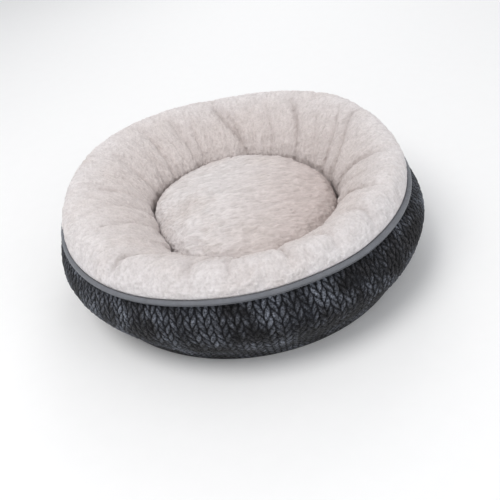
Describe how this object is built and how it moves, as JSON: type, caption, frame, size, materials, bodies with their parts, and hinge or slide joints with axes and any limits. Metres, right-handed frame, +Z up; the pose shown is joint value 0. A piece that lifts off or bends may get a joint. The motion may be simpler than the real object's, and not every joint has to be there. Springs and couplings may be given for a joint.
{
  "type": "round pet bed",
  "caption": "Round pet bed: a stuffed plush ring with a piped rim and embossed wall on a flat base, round a loose zipped cushion.",
  "frame": {"origin": "centre of the underside, on the floor", "axes": "+Z up, the axis the bed is round about; +Y towards the back, where the cushion's zip lies; -Y is the front"},
  "size_m": [0.5, 0.5, 0.146],
  "materials": {
    "cream_plush": "short soft pile, off-white",
    "cushion_plush": "short soft pile, off-white and a little warmer",
    "wall_plush": "dark blue-grey pile, embossed with a braid of leaves",
    "piping_fabric": "mid-grey satin weave",
    "base_fabric": "dark plain weave with printed non-slip dots",
    "lining_fabric": "plain weave",
    "fibre_fill": "loose polyester fibre",
    "filler_cord": "twisted cotton",
    "zip_tape": "fine herringbone tape",
    "zip_coil": "nylon coil",
    "zip_metal": "satin nickel"
  },
  "bodies": {
    "bed": {"base_panel": "base_fabric", "floor_lining": "lining_fabric", "outer_wall_panel": "wall_plush", "bolster_cover": "cream_plush", "bolster_fill": "fibre_fill", "piping_strip": "piping_fabric", "piping_cord": "filler_cord"},
    "cushion": {"cushion_top_panel": "cushion_plush", "cushion_bottom_panel": "cushion_plush", "cushion_fill": "fibre_fill", "zip_coil_upper": "zip_coil", "zip_coil_lower": "zip_coil", "zip_tape_upper": "zip_tape", "zip_tape_lower": "zip_tape", "zip_stop_start": "zip_metal", "zip_stop_end": "zip_metal"},
    "zip_pull": {"zip_slider": "zip_metal"}
  },
  "joints": [
    {"name": "cushion_lift", "type": "slide", "parent": "bed", "child": "cushion", "axis": [0, 0, 1], "range_m": [0, 0.2]},
    {"name": "zip_slide", "type": "hinge", "parent": "cushion", "child": "zip_pull", "pos_m": [0, 0, 0.046], "axis": [0, 0, 1], "range_deg": [0, 91]}
  ]
}
